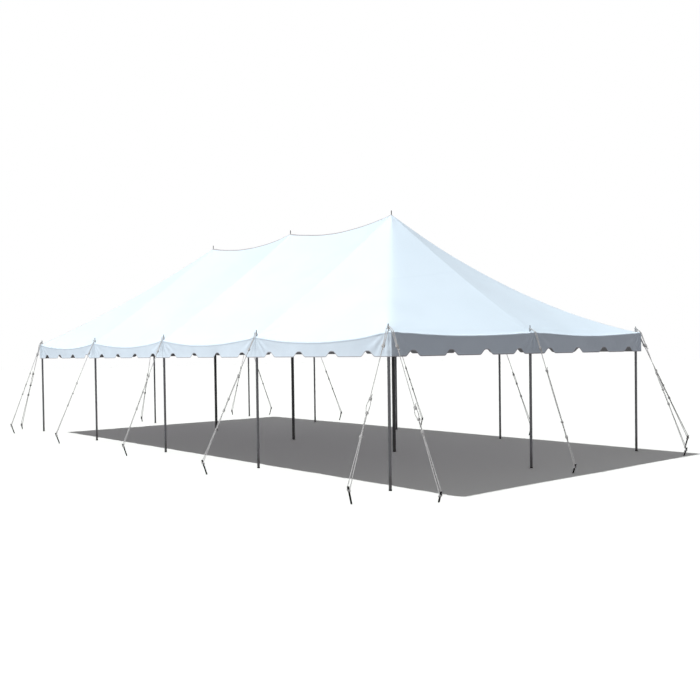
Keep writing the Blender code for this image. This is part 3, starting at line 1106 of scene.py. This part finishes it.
@dataclass
class Poles:
    """All poles of one kind: a first one is modelled, and the others are copies of it."""

    kind: PoleKind
    finishes: Finishes
    places: dict[str, tuple[float, float]]

    def model_first(self) -> bpy.types.Object:
        """One pole that stands at the origin: its foot cap, then the tube in it."""
        kind = self.kind
        outer = kind.radius + kind.foot_rim
        cap = RingStack(outer - 0.0035, 0.0, kind.segments)
        for radius, height in kind.foot_rings():
            cap.rise(radius, height)
        foot = cap.close("foot")
        foot.data.materials.append(self.finishes["foot"])
        stack = RingStack(kind.radius, kind.foot_height - 0.004, kind.segments)
        for radius, height in kind.tube_rings():
            stack.rise(radius, height)
        tube = stack.close("tube")
        tube.data.materials.append(self.finishes[kind.finish])
        return join([tube, foot], "first_pole")

    def build(self) -> list[bpy.types.Object]:
        """Copies the first pole to every place and dresses each copy.

        Returns:
            The finished poles.
        """
        first = self.model_first()
        made = []
        for node, (x, y) in self.places.items():
            mesh = first.data.copy()
            mesh.transform(Matrix.Rotation(0.7 * len(made), 4, "Z"))
            mesh.transform(Matrix.Translation((x, y, 0.0)))
            name = "side_" + node if node.startswith("pole") else node.replace("_pole", "_post")
            pole = bpy.data.objects.new(name, mesh)
            bpy.context.scene.collection.objects.link(pole)
            hand_over(pole, [node])
            made.append(pole)
        bpy.data.objects.remove(first)
        return made


@dataclass(frozen=True)
class Guy:
    """Where one rope starts and which way it runs."""

    name: str
    foot: Vector
    angle: float
    offset: float
    splay: float
    at_end: bool
    on_top: bool
    at_corner: bool

    @property
    def placing(self) -> Matrix:
        """From the rope's own frame, whose first axis points outwards, to the tent's."""
        return Matrix.Translation(self.foot) @ Matrix.Rotation(self.angle, 4, "Z")


def all_guys(form: TentForm) -> list[Guy]:
    """Every rope of the tent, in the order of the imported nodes."""
    guys = []
    for number, (offset, splay) in enumerate(LONG_SIDE_STAKES):
        x = -form.half_length + number * form.bay
        corner = number in (0, form.side_bays)
        for side, sign in (("front", -1), ("back", 1)):
            foot = Vector((x, sign * form.half_width, 0.0))
            turn = math.radians(-sign * splay)
            angle = sign * math.pi / 2 + turn
            name = f"{side}_{number + 1}"
            guys.append(Guy(name, foot, angle, offset, abs(turn), False, False, corner))
    for number, (offset, splay) in enumerate(SHORT_SIDE_STAKES):
        y = -form.half_width + number * form.bay
        corner = number != 1
        for side, sign in (("left", -1), ("right", 1)):
            foot = Vector((sign * form.half_length, y, 0.0))
            turn = math.radians(sign * splay)
            angle = (0.0 if sign > 0 else math.pi) + turn
            name = f"{side}_{number + 1}"
            guys.append(Guy(name, foot, angle, offset, abs(turn), True, corner, corner))
    return guys


@dataclass(frozen=True)
class StakeKind:
    """Sizes of a driven bar, the part above the ground, and where the rope holds it."""

    top: float
    lean: float = 0.36
    radius: float = 0.0125
    head_radius: float = 0.017
    head_depth: float = 0.014
    rope_below_top: float = 0.03
    segments: int = 28

    @property
    def held_at(self) -> float:
        """Height where the rope goes round."""
        return self.top - self.rope_below_top

    def hold(self, offset: float) -> Vector:
        """The point on the bar's axis where the rope goes round, in the rope's own frame."""
        return Vector((offset + self.lean * self.held_at, 0.0, self.held_at))

    def model(self, finish: bpy.types.Material) -> bpy.types.Object:
        """The bar with its hammered head, leaning outwards from the tent.

        Args:
            finish: The iron.

        Returns:
            A stake that stands at the origin.
        """
        under = self.top - self.head_depth
        stack = RingStack(self.radius, 0.0, self.segments)
        for radius, height in (
            (self.radius, under * 0.5), (self.radius, under - 0.004),
            (self.radius + 0.001, under), (self.head_radius - 0.0012, under + 0.003),
            (self.head_radius, under + 0.006), (self.head_radius, self.top - 0.004),
            (self.head_radius - 0.0022, self.top - 0.001), (self.head_radius - 0.006, self.top),
        ):
            stack.rise(radius, height)
        bar = stack.close("stake")
        for vertex in bar.data.vertices:
            spot = vertex.co
            around = math.atan2(spot.y, spot.x)
            if spot.z > under + 0.001:
                burr = 1.0 + 0.06 * math.sin(3.0 * around + 0.8) + 0.035 * math.sin(7.0 * around)
                spot.x *= burr
                spot.y *= burr
            spot.x += self.lean * spot.z
        bar.data.materials.append(finish)
        return bar


# Ropes


@dataclass(frozen=True)
class Hitches:
    """Shares of the way from the lip to the stake where a rope is bound or knotted."""

    binding: float
    upper: float
    lower: float
    slide: float
    bow: float


@dataclass
class LaidRope:
    """Three strands laid round each other and bent along a route."""

    finish: bpy.types.Material
    radius: float = 0.0065
    pitch: float = 0.046
    steps: int = 6
    strand_sides: int = 5

    @property
    def strand_radius(self) -> float:
        """Radius of one of three strands that fill the rope."""
        return self.radius / (1.0 + 2.0 / math.sqrt(3.0)) * 1.06

    def route_curve(self, route: list[Vector]) -> bpy.types.Object:
        """The route as a poly curve that the strands are bent along."""
        curve = bpy.data.curves.new("route", "CURVE")
        curve.dimensions = "3D"
        spline = curve.splines.new("POLY")
        spline.points.add(len(route) - 1)
        for point, place in zip(spline.points, route):
            point.co = (*place, 1.0)
        guide = bpy.data.objects.new("route", curve)
        bpy.context.scene.collection.objects.link(guide)
        return guide

    def lay(self, route: list[Vector], name: str) -> bpy.types.Object:
        """Lays three strands over the route's length and bends them along it.

        Args:
            route: Points of the rope's middle line.
            name: Name of the piece.

        Returns:
            The rope as a mesh object, with its ends closed.
        """
        length = sum((b - a).length for a, b in zip(route, route[1:]))
        turns = max(1, round(length / self.pitch))
        offset = self.radius - self.strand_radius
        deselect_all()
        strands = []
        for number in range(3):
            angle = math.tau * number / 3
            spot = (0.0, offset * math.cos(angle), offset * math.sin(angle))
            bpy.ops.mesh.primitive_circle_add(vertices=self.strand_sides,
                                              radius=self.strand_radius, location=spot,
                                              rotation=(0.0, math.pi / 2, 0.0))
            strand = bpy.context.object
            apply_place(strand)
            strands.append(strand)
        rope = join(strands, name)
        screw = rope.modifiers.new("lay", "SCREW")
        screw.axis = "X"
        screw.angle = math.tau
        screw.screw_offset = length / turns
        screw.iterations = turns
        screw.steps = self.steps
        screw.render_steps = self.steps
        screw.use_merge_vertices = False
        guide = self.route_curve(route)
        bend = rope.modifiers.new("route", "CURVE")
        bend.object = guide
        bend.deform_axis = "POS_X"
        apply_modifiers(rope)
        bpy.data.objects.remove(guide)
        make_active(rope)
        bpy.ops.object.mode_set(mode="EDIT")
        bpy.ops.mesh.select_all(action="DESELECT")
        bpy.ops.mesh.select_mode(type="EDGE")
        bpy.ops.mesh.select_non_manifold()
        bpy.ops.mesh.fill_holes(sides=0)
        bpy.ops.mesh.select_all(action="SELECT")
        bpy.ops.mesh.normals_make_consistent(inside=False)
        bpy.ops.object.mode_set(mode="OBJECT")
        bpy.ops.object.shade_smooth()
        rope.data.materials.clear()
        rope.data.materials.append(self.finish)
        return rope


@dataclass
class GuyRopes:
    """Sixteen taut ropes, each one from its eye on the pin to its turn round the stake."""

    finishes: Finishes
    stakes: dict[bool, StakeKind]
    form: TentForm = FORM
    pin_radius: float = 0.008
    gap: float = 0.0006
    eye_lift: float = 0.021
    eye_tail: float = 0.030
    pair_pitch: float = 0.075
    free_end: float = 0.05

    def __post_init__(self) -> None:
        """Makes the rope that every guy is cut from."""
        self.rope = LaidRope(self.finishes["rope"])
        self.made: dict[tuple, bpy.types.Object] = {}

    @property
    def thick(self) -> float:
        """Distance between the middle lines of two ropes that touch."""
        return 2 * self.rope.radius + self.gap

    def hitches(self, guy: Guy) -> Hitches:
        """Where the knots of a rope sit, as the tensioning left them."""
        adjusted = {
            "front_5": Hitches(0.10, 0.45, 0.54, 0.69, 0.030),
            "right_1": Hitches(0.10, 0.49, 0.56, 0.64, 0.022),
            "right_2": Hitches(0.13, 0.30, 0.68, 0.79, 0.004),
            "front_4": Hitches(0.11, 0.32, 0.51, 0.60, 0.008),
            "front_3": Hitches(0.11, 0.35, 0.50, 0.66, 0.010),
            "front_2": Hitches(0.12, 0.45, 0.56, 0.69, 0.012),
        }
        usual = (Hitches(0.11, 0.42, 0.52, 0.66, 0.014), Hitches(0.12, 0.36, 0.50, 0.62, 0.010))
        number = int(guy.name[-1])
        return adjusted.get(guy.name, usual[number % 2])

    def axes(self, guy: Guy) -> tuple[Vector, Vector, Vector, Vector]:
        """The taut line of a rope in its own frame.

        Args:
            guy: The rope.

        Returns:
            Point over the lip's edge, start of the taut line, the line as a vector, and the
            direction square to it that points up and outwards.
        """
        square = self.form.end_lip if guy.at_end else self.form.side_lip
        reach = self.pin_radius + self.rope.radius + self.gap
        lip_reach = (square + reach * math.sin(guy.splay)) / math.cos(guy.splay)
        lip = Vector((lip_reach, 0.0, self.form.eave_height - self.form.lip_fall))
        hold = self.stakes[guy.at_end].hold(guy.offset)
        down = (hold - lip).normalized()
        outer = Vector((-down.z, 0.0, down.x))
        clear = self.rope.radius + self.gap
        roof_normal = Vector((self.form.lip_fall, 0.0, lip_reach)).normalized()
        start = lip + outer * (clear + 0.001)
        return lip + roof_normal * clear, start, hold - start, outer

    def eye(self, guy: Guy) -> list[Vector]:
        """The turns round the pin, from the free leg's side to the standing leg's side."""
        reach = self.pin_radius + self.rope.radius + self.gap
        turns = 1 if guy.at_corner else 2
        level = self.form.eave_height + self.eye_lift
        if guy.on_top:
            level += 2 * self.thick
        sweep = math.pi + math.tau * turns
        steps = 14 * turns + 8
        ring = []
        for step in range(steps + 1):
            share = step / steps
            angle = math.pi / 2 + sweep * share
            height = level + turns * self.thick * share
            ring.append(Vector((reach * math.cos(angle), reach * math.sin(angle), height)))
        first = Vector((self.eye_tail, reach, level - 0.001))
        last = Vector((self.eye_tail, -reach, level + turns * self.thick - 0.003))
        return [first] + ring + [last]

    def twisted(self, line: "TautLine", share_a: float, share_b: float, half: float,
                ) -> list[Vector]:
        """One of two parts that twist round each other between two shares of the line."""
        length = line.length * (share_b - share_a)
        turns = max(1, round(length / self.pair_pitch))
        steps = turns * 12
        points = []
        for step in range(steps + 1):
            share = step / steps
            angle = math.pi * half + math.tau * turns * share
            side = self.thick / 2 * math.cos(angle)
            lift = self.thick / 2 * math.sin(angle)
            points.append(line.at(share_a + (share_b - share_a) * share, side, lift))
        return points

    def main_route(self, guy: Guy) -> list[Vector]:
        """The rope's whole middle line, from its free end by the eye to its end at the knot.

        Args:
            guy: The rope.

        Returns:
            Points in the rope's own frame.
        """
        over, start, run, outer = self.axes(guy)
        line = TautLine(start, run, outer)
        at = self.hitches(guy)
        half = self.thick / 2
        reach = self.pin_radius + self.rope.radius + self.gap
        stub = self.free_end / line.length

        points = [line.at(at.binding + stub * 1.3, half * 2.2, 0.012)]
        points += [line.at(at.binding + stub * share, half, 0.0) for share in (0.6, 0.0)]
        points += spread_points(points.pop(), line.at(0.004, reach, 0.0), 8)
        points.append(over + Vector((0.0, reach, 0.0)))
        points += self.eye(guy)
        points.append(over + Vector((0.0, -reach, 0.0)))
        points += spread_points(line.at(0.004, -reach, 0.0), line.at(at.binding, -half, 0.0), 8)
        points += spread_points(line.at(at.binding + stub, -half * 0.4, 0.0),
                                line.at(at.upper, -half, 0.0), 10)
        points += self.bowed(line, at.upper, at.lower, -1, at.bow)
        points += self.twisted(line, at.lower, at.slide, 1.0)
        stake = self.stakes[guy.at_end]
        wrap = stake.radius + self.rope.radius + self.gap
        down = run.normalized()
        slant = wrap / (down.x - stake.lean * down.z)
        points += spread_points(line.at(at.slide, -half, 0.0), line.at(0.99, -wrap, 0.0), 10)[1:]
        for step in range(13):
            angle = math.pi * step / 12
            spot = stake.hold(guy.offset) + down * (slant * math.sin(angle))
            spot.y = -wrap * math.cos(angle)
            points.append(spot)
        points += spread_points(line.at(0.99, wrap, 0.0), line.at(at.slide, half, 0.0), 10)
        points += self.twisted(line, at.lower, at.slide, 0.0)[::-1][1:]
        points += self.bowed(line, at.upper, at.lower, 1, at.bow * 0.55)[::-1]
        points.append(line.at(at.upper - stub * 0.7, half * 1.6, 0.006))
        points.append(line.at(at.upper - stub * 1.2, half * 3.2, 0.014))
        return without_doubles(points)

    def bowed(self, line: "TautLine", share_a: float, share_b: float, sign: int, bow: float,
              ) -> list[Vector]:
        """One side of the slack loop between two knots."""
        half = self.thick / 2
        points = []
        for step in range(1, 14):
            share = step / 14
            swell = math.sin(math.pi * share)
            side = sign * (half + bow * swell)
            lift = 0.3 * bow * swell * sign
            points.append(line.at(share_a + (share_b - share_a) * share, side, lift))
        return points

    def wrap_route(self, line: "TautLine", share: float, turns: float, wide: float, deep: float,
                   ) -> list[Vector]:
        """Close turns round the two parts of a rope, for a knot or a binding.

        Args:
            line: The taut line that the turns go round.
            share: Where their middle is on it.
            turns: How many turns there are.
            wide: Reach sideways of the turns' middle line.
            deep: Reach square to that.

        Returns:
            Points in the rope's own frame.
        """
        steps = round(turns * 14)
        points = []
        for step in range(steps + 1):
            part = step / steps
            angle = math.tau * turns * part
            shift = (part - 0.5) * turns * self.thick / line.length
            tuck = 1.0 - 0.35 * (abs(2 * part - 1) ** 8)
            points.append(line.at(share + shift, wide * tuck * math.cos(angle),
                                  deep * tuck * math.sin(angle)))
        return points

    def stake_turns(self, guy: Guy) -> list[Vector]:
        """One and a half more turns round the stake, under the bight."""
        stake = self.stakes[guy.at_end]
        reach = stake.radius + self.rope.radius + self.gap
        points = []
        steps = 26
        for step in range(steps + 1):
            share = step / steps
            angle = math.tau * 1.6 * share + 0.6
            height = stake.held_at - 0.014 - 1.6 * self.thick * share
            axis = guy.offset + stake.lean * height
            points.append(Vector((axis + reach * math.cos(angle), reach * math.sin(angle), height)))
        return points

    def model(self, guy: Guy) -> bpy.types.Object:
        """One rope with its knots, in its own frame."""
        _, start, run, outer = self.axes(guy)
        line = TautLine(start, run, outer)
        at = self.hitches(guy)
        pair_wide = 1.5 * self.thick
        routes = [
            self.main_route(guy),
            self.wrap_route(line, at.binding, 3.2, pair_wide, self.thick),
            self.wrap_route(line, at.upper, 3.2, pair_wide, self.thick),
            self.wrap_route(line, at.lower, 2.3, pair_wide, self.thick * 1.1),
            self.wrap_route(line, at.slide, 3.3, pair_wide, self.thick * 1.05),
            self.stake_turns(guy),
        ]
        parts = [self.rope.lay(route, f"part_{number}") for number, route in enumerate(routes)]
        return join(parts, "guy")

    def build(self) -> None:
        """Models each sort of rope once and copies it to its places."""
        for guy in all_guys(self.form):
            key = (guy.at_end, guy.on_top, guy.offset, guy.splay, self.hitches(guy))
            if key not in self.made:
                self.made[key] = self.model(guy)
            mesh = self.made[key].data.copy()
            mesh.transform(guy.placing)
            rope = bpy.data.objects.new(f"rope_{guy.name}", mesh)
            bpy.context.scene.collection.objects.link(rope)
            hand_over(rope, [f"guy_{guy.name}"])
        for first in self.made.values():
            bpy.data.objects.remove(first)


@dataclass(frozen=True)
class TautLine:
    """The straight line of a taut rope, with places beside it."""

    start: Vector
    run: Vector
    outer: Vector

    @property
    def length(self) -> float:
        """Length from the lip to the stake."""
        return self.run.length

    def at(self, share: float, side: float, lift: float) -> Vector:
        """A point at a share of the line, moved sideways and square to the line."""
        spot = self.start + self.run * share + self.outer * lift
        return spot + Vector((0.0, side, 0.0))


def spread_points(first: Vector, last: Vector, steps: int) -> list[Vector]:
    """Evenly spaced points of a straight stretch, with both ends."""
    return [first.lerp(last, step / steps) for step in range(steps + 1)]


def without_doubles(points: list[Vector]) -> list[Vector]:
    """The same route without points that lie on the one before."""
    kept = [points[0]]
    for point in points[1:]:
        if (point - kept[-1]).length > 0.0005:
            kept.append(point)
    return kept


@dataclass
class Stakes:
    """All stakes: one of each kind is modelled, and the others are copies of it."""

    finishes: Finishes
    kinds: dict[bool, StakeKind]
    form: TentForm = FORM

    def build(self) -> None:
        """Copies the two first stakes to the ends of all ropes."""
        firsts = {at_end: kind.model(self.finishes["iron"]) for at_end, kind in self.kinds.items()}
        for guy in all_guys(self.form):
            mesh = firsts[guy.at_end].data.copy()
            mesh.transform(guy.placing @ Matrix.Translation((guy.offset, 0.0, 0.0)))
            stake = bpy.data.objects.new(f"iron_stake_{guy.name}", mesh)
            bpy.context.scene.collection.objects.link(stake)
            hand_over(stake, [f"stake_{guy.name}"])
        for first in firsts.values():
            bpy.data.objects.remove(first)


# Camera, lights and floor


@dataclass(frozen=True)
class View:
    """The camera at the photo's viewing angle."""

    place: tuple[float, float, float] = (14.1881, -10.8342, 1.8840)
    heading: float = 140.891
    tilt: float = -1.232
    roll: float = -0.830
    lens: float = 43.35
    shift: tuple[float, float] = (0.04542, 0.02655)

    def build(self) -> None:
        """Makes the camera and hands it to the scene."""
        data = bpy.data.cameras.new("camera")
        data.lens = self.lens
        data.sensor_width = 36.0
        data.shift_x, data.shift_y = self.shift
        data.clip_end = 500.0
        camera = bpy.data.objects.new("camera", data)
        heading = Matrix.Rotation(math.radians(self.heading - 90.0), 4, "Z")
        tilt = Matrix.Rotation(math.radians(90.0 + self.tilt), 4, "X")
        roll = Matrix.Rotation(math.radians(self.roll), 4, "Z")
        camera.matrix_world = Matrix.Translation(self.place) @ heading @ tilt @ roll
        bpy.context.scene.collection.objects.link(camera)
        bpy.context.scene.camera = camera


@dataclass(frozen=True)
class Stage:
    """White floor and background, a high key light, and two soft lights for the fabric alone."""

    key_travel: tuple[float, float, float] = (0.9, 0.4, -2.13)
    key_strength: float = 1.31
    key_angle: float = 1.5
    fill_travel: tuple[float, float, float] = (0.0, 0.22, -0.97)
    fill_strength: float = 2.72
    fill_angle: float = 10.0
    panel_place: tuple[float, float, float] = (-1.0, -9.5, 0.5)
    panel_size: tuple[float, float] = (16.0, 0.9)
    panel_power: float = 345.0
    horizon: tuple[float, float, float] = (0.56, 0.53, 0.57)
    zenith: tuple[float, float, float] = (0.068, 0.068, 0.068)
    floor_seen: tuple[float, float, float] = (2.12, 2.17, 2.10)
    floor_bounced: tuple[float, float, float] = (0.60, 0.57, 0.57)
    floor_half: float = 90.0
    filled: tuple[str, ...] = ("top_sheet", "valance_sheet", "eyelets", "rope_front", "rope_right")
    unshadowed: tuple[str, ...] = ("rope_", "iron_stake", "side_pole")

    @staticmethod
    def pieces(starts: tuple[str, ...], name: str) -> bpy.types.Collection:
        """A collection of the pieces whose names start in one of a few ways."""
        chosen = bpy.data.collections.new(name)
        for thing in bpy.context.scene.objects:
            if thing.type == "MESH" and thing.name.startswith(starts):
                chosen.objects.link(thing)
        return chosen

    @staticmethod
    def hang(data: bpy.types.Light, travel: tuple[float, float, float]) -> bpy.types.Object:
        """Puts a light in the scene so that it shines along a direction."""
        light = bpy.data.objects.new(data.name, data)
        light.rotation_euler = Vector(travel).to_track_quat("-Z", "Y").to_euler()
        light.visible_camera = False
        bpy.context.scene.collection.objects.link(light)
        return light

    def key(self) -> None:
        """The high light that draws the tent's shadow, without thin shadows of ropes and poles."""
        data = bpy.data.lights.new("key", "SUN")
        data.energy = self.key_strength
        data.angle = math.radians(self.key_angle)
        light = self.hang(data, self.key_travel)
        thin = self.pieces(self.unshadowed, "casts_no_shadow")
        light.light_linking.blocker_collection = thin
        for entry in thin.collection_objects:
            entry.light_linking.link_state = "EXCLUDE"

    def fills(self) -> None:
        """A light from above and a long low panel before the front, for the fabric alone."""
        cloth = self.pieces(self.filled, "filled")
        data = bpy.data.lights.new("top_fill", "SUN")
        data.energy = self.fill_strength
        data.angle = math.radians(self.fill_angle)
        self.hang(data, self.fill_travel).light_linking.receiver_collection = cloth
        data = bpy.data.lights.new("front_panel", "AREA")
        data.shape = "RECTANGLE"
        data.size, data.size_y = self.panel_size
        data.energy = self.panel_power
        light = self.hang(data, (0.0, 1.0, 0.2))
        light.location = self.panel_place
        light.light_linking.receiver_collection = cloth

    def world(self) -> None:
        """White behind the tent for the camera, and a weak light that comes from the horizon."""
        world = bpy.data.worlds.new("studio")
        world.use_nodes = True
        tree = world.node_tree
        place = tree.nodes.new("ShaderNodeTexCoord")
        axes = tree.nodes.new("ShaderNodeSeparateXYZ")
        rise = tree.nodes.new("ShaderNodeMapRange")
        rise.inputs["From Min"].default_value = 0.15
        rise.inputs["From Max"].default_value = 0.45
        sky = tree.nodes.new("ShaderNodeMix")
        sky.name = "sky"
        path = tree.nodes.new("ShaderNodeLightPath")
        seen = tree.nodes.new("ShaderNodeMix")
        for mix in (sky, seen):
            mix.data_type = "RGBA"
        sky.inputs[6].default_value = (*self.horizon, 1.0)
        sky.inputs[7].default_value = (*self.zenith, 1.0)
        seen.inputs[7].default_value = (1.0, 1.0, 1.0, 1.0)
        tree.links.new(place.outputs["Generated"], axes.inputs[0])
        tree.links.new(axes.outputs[2], rise.inputs["Value"])
        tree.links.new(rise.outputs[0], sky.inputs["Factor"])
        tree.links.new(sky.outputs[2], seen.inputs[6])
        tree.links.new(path.outputs["Is Camera Ray"], seen.inputs["Factor"])
        tree.links.new(seen.outputs[2], tree.nodes["Background"].inputs["Color"])
        bpy.context.scene.world = world

    def floor(self) -> None:
        """A plain pale floor, brighter to the camera than the light that it throws back up."""
        deselect_all()
        bpy.ops.mesh.primitive_plane_add(size=2 * self.floor_half)
        floor = bpy.context.object
        floor.name = "floor"
        shading = Shading("pale_floor")
        seen = shading.add("LightPath").outputs["Is Camera Ray"]
        colour = shading.blend(seen, self.floor_bounced, self.floor_seen)
        diffuse = shading.add("BsdfDiffuse", {"Color": colour})
        output = shading.tree.nodes["Material Output"]
        shading.tree.links.new(diffuse.outputs[0], output.inputs["Surface"])
        shading.tree.nodes.remove(shading.shader)
        floor.data.materials.append(shading.material)

    def build(self) -> None:
        """Sets the whole stage round the finished pieces."""
        bpy.context.scene.view_settings.view_transform = "Standard"
        self.key()
        self.fills()
        self.world()
        self.floor()


def side_places(form: TentForm) -> dict[str, tuple[float, float]]:
    """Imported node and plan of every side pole."""
    places = {}
    for number in range(form.side_bays + 1):
        x = -form.half_length + number * form.bay
        places[f"pole_front_{number + 1}"] = (x, -form.half_width)
        places[f"pole_back_{number + 1}"] = (x, form.half_width)
    places["pole_left_mid"] = (-form.half_length, 0.0)
    places["pole_right_mid"] = (form.half_length, 0.0)
    return places


def centre_places(form: TentForm) -> dict[str, tuple[float, float]]:
    """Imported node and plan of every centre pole."""
    return {f"centre_pole_{number}": ((number - 2) * form.bay, 0.0) for number in (1, 2, 3)}


def write_sizes() -> None:
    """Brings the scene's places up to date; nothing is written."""
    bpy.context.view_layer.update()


def main() -> None:
    """Builds the tent's looks in order: poles, stakes, ropes and fabric, then the stage."""
    logging.basicConfig(level=logging.INFO, format="%(name)s: %(message)s")
    finishes = Finishes()
    side = PoleKind(0.021, FORM.eave_height, 0.095, 0.80, "side_tube", "side_tube")
    centre = PoleKind(0.030, FORM.peak_height, 0.075, 0.98, "centre_tube", "centre_tube")
    Poles(side, finishes, side_places(FORM)).build()
    Poles(centre, finishes, centre_places(FORM)).build()
    stakes = {False: StakeKind(0.23), True: StakeKind(0.14)}
    Stakes(finishes, stakes).build()
    GuyRopes(finishes, stakes).build()
    TopSheet(finishes).build()
    Eyelets(finishes).build()
    for side_of_plan in Side:
        Valance(side_of_plan, finishes).build()
    write_sizes()
    View().build()
    Stage().build()


if __name__ == "__main__":
    main()
